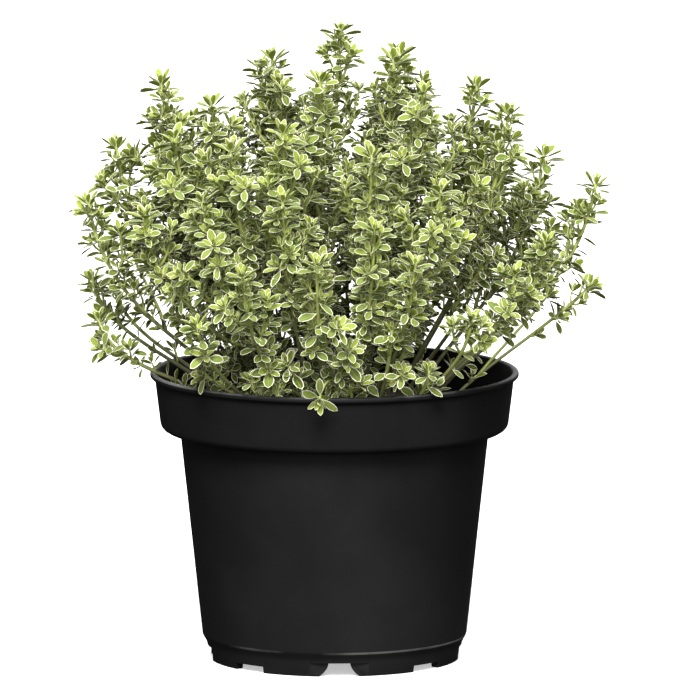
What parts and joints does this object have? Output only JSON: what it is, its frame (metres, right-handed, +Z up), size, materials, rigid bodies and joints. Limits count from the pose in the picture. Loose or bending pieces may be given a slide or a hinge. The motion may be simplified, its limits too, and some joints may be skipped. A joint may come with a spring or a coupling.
{
  "type": "potted thyme",
  "caption": "bushy variegated thyme with small cream-edged leaves, rooted in soil in a round black plastic nursery pot",
  "frame": {"origin": "on the pot's axis, on the plane that the pot stands on", "axes": "+Z up along the pot's axis; -Y is the front, as pictured; +X is to the right as seen from the front"},
  "size_m": [0.1936, 0.1691, 0.2265],
  "materials": {
    "pot": "satin",
    "soil": "matte",
    "foliage": "matte"
  },
  "bodies": {
    "root": {"pot": "pot", "soil": "soil", "leafy_stem_01": "foliage", "leafy_stem_02": "foliage", "leafy_stem_03": "foliage", "leafy_stem_04": "foliage", "leafy_stem_05": "foliage", "leafy_stem_06": "foliage", "leafy_stem_07": "foliage", "leafy_stem_08": "foliage", "leafy_stem_09": "foliage", "leafy_stem_10": "foliage", "leafy_stem_11": "foliage", "leafy_stem_12": "foliage", "leafy_stem_13": "foliage", "leafy_stem_14": "foliage", "leafy_stem_15": "foliage", "leafy_stem_16": "foliage", "leafy_stem_17": "foliage", "leafy_stem_18": "foliage", "leafy_stem_19": "foliage", "leafy_stem_20": "foliage", "leafy_stem_21": "foliage", "leafy_stem_22": "foliage", "leafy_stem_23": "foliage", "leafy_stem_24": "foliage", "leafy_stem_25": "foliage", "leafy_stem_26": "foliage", "leafy_stem_27": "foliage", "leafy_stem_28": "foliage", "leafy_stem_29": "foliage", "leafy_stem_30": "foliage", "leafy_stem_31": "foliage", "leafy_stem_32": "foliage", "leafy_stem_33": "foliage", "leafy_stem_34": "foliage", "leafy_stem_35": "foliage", "leafy_stem_36": "foliage", "leafy_stem_37": "foliage", "leafy_stem_38": "foliage", "leafy_stem_39": "foliage", "leafy_stem_40": "foliage", "leafy_stem_41": "foliage", "leafy_stem_42": "foliage", "leafy_stem_43": "foliage", "leafy_stem_44": "foliage", "leafy_stem_45": "foliage", "leafy_stem_46": "foliage", "leafy_stem_47": "foliage", "leafy_stem_48": "foliage", "leafy_stem_49": "foliage"}
  },
  "joints": []
}
